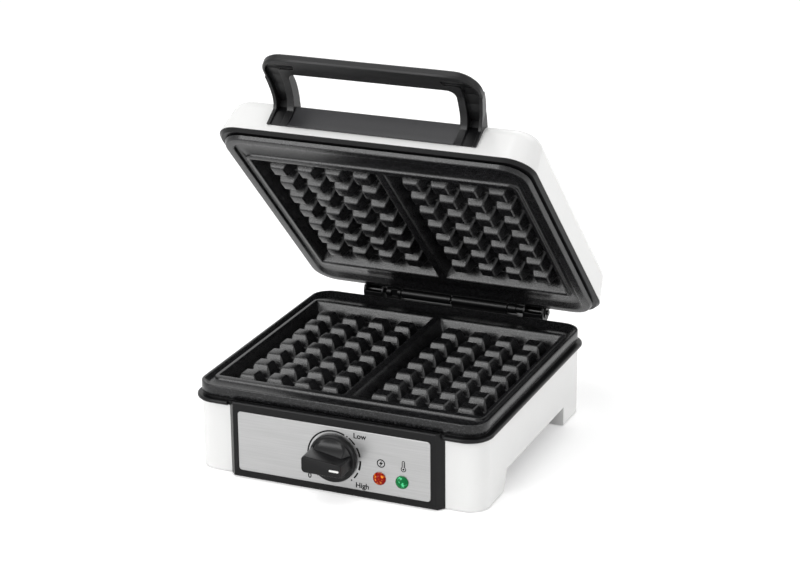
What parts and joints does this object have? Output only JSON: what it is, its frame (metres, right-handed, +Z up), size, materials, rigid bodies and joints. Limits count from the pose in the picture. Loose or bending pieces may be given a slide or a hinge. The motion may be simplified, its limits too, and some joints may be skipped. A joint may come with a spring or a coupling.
{
  "type": "belgian waffle iron",
  "caption": "Electric waffle iron with a hinged lid, loop handle, deep grid plates, and a temperature dial with lamps on the front.",
  "frame": {"origin": "on the table, under the middle of the width and of the depth with the lid open as stored", "axes": "+X to the right, +Y to the back, where the hinge is, +Z up"},
  "size_m": [0.2484, 0.28, 0.3049],
  "materials": {
    "white_gloss_plastic": "gloss",
    "foot_rubber": "matt",
    "cover_plastic": "matt",
    "plated_screw_steel": "zinc plated",
    "black_plastic": "semi-gloss",
    "coated_cast_aluminium": "non-stick coated, fine grain",
    "heater_sheath": "dull",
    "aluminised_sheet": "mill",
    "pin_steel": "polished",
    "brushed_steel": "brushed",
    "red_lens": "clear gloss",
    "green_lens": "clear gloss",
    "neon_glass": "clear",
    "knob_plastic": "satin",
    "white_inlay": "matt",
    "ceramic": "matt",
    "lead_insulation": "matt"
  },
  "bodies": {
    "base": {"lower_housing": "white_gloss_plastic", "foot_pads": "foot_rubber", "base_cover": "cover_plastic", "base_cover_screws": "plated_screw_steel", "lower_rim": "black_plastic", "lower_grill_plate": "coated_cast_aluminium", "lower_heating_element": "heater_sheath", "lower_reflector": "aluminised_sheet", "lower_plate_screws": "plated_screw_steel", "control_bezel": "black_plastic", "steel_fascia": "brushed_steel", "power_lamp_lens": "red_lens", "ready_lamp_lens": "green_lens", "lamp_holders": "cover_plastic", "lamp_bulbs": "neon_glass", "bezel_screws": "plated_screw_steel", "thermostat_body": "ceramic", "thermostat_bracket": "aluminised_sheet", "thermostat_nut": "plated_screw_steel", "cord_gland": "cover_plastic", "terminal_block": "ceramic", "thermal_fuse": "ceramic", "lower_wires": "lead_insulation"},
    "lid": {"upper_housing": "white_gloss_plastic", "upper_rim": "black_plastic", "upper_grill_plate": "coated_cast_aluminium", "upper_heating_element": "heater_sheath", "upper_reflector": "aluminised_sheet", "upper_plate_screws": "plated_screw_steel", "hinge_pin": "pin_steel", "hinge_pin_clips": "pin_steel", "handle_loop": "black_plastic", "handle_panel": "black_plastic", "handle_screws": "plated_screw_steel", "upper_wires": "lead_insulation"},
    "knob": {"temperature_knob": "knob_plastic", "knob_pointer": "white_inlay", "thermostat_shaft": "pin_steel"}
  },
  "joints": [
    {"name": "lid_hinge", "type": "hinge", "parent": "base", "child": "lid", "pos_m": [0, 0.1214, 0.0682], "axis": [-1, 0, 0], "range_deg": [-44.6, 55.4]},
    {"name": "temperature_dial", "type": "hinge", "parent": "base", "child": "knob", "pos_m": [0.001, -0.12, 0.0292], "axis": [0, 1, 0], "range_deg": [-222, 49]}
  ]
}
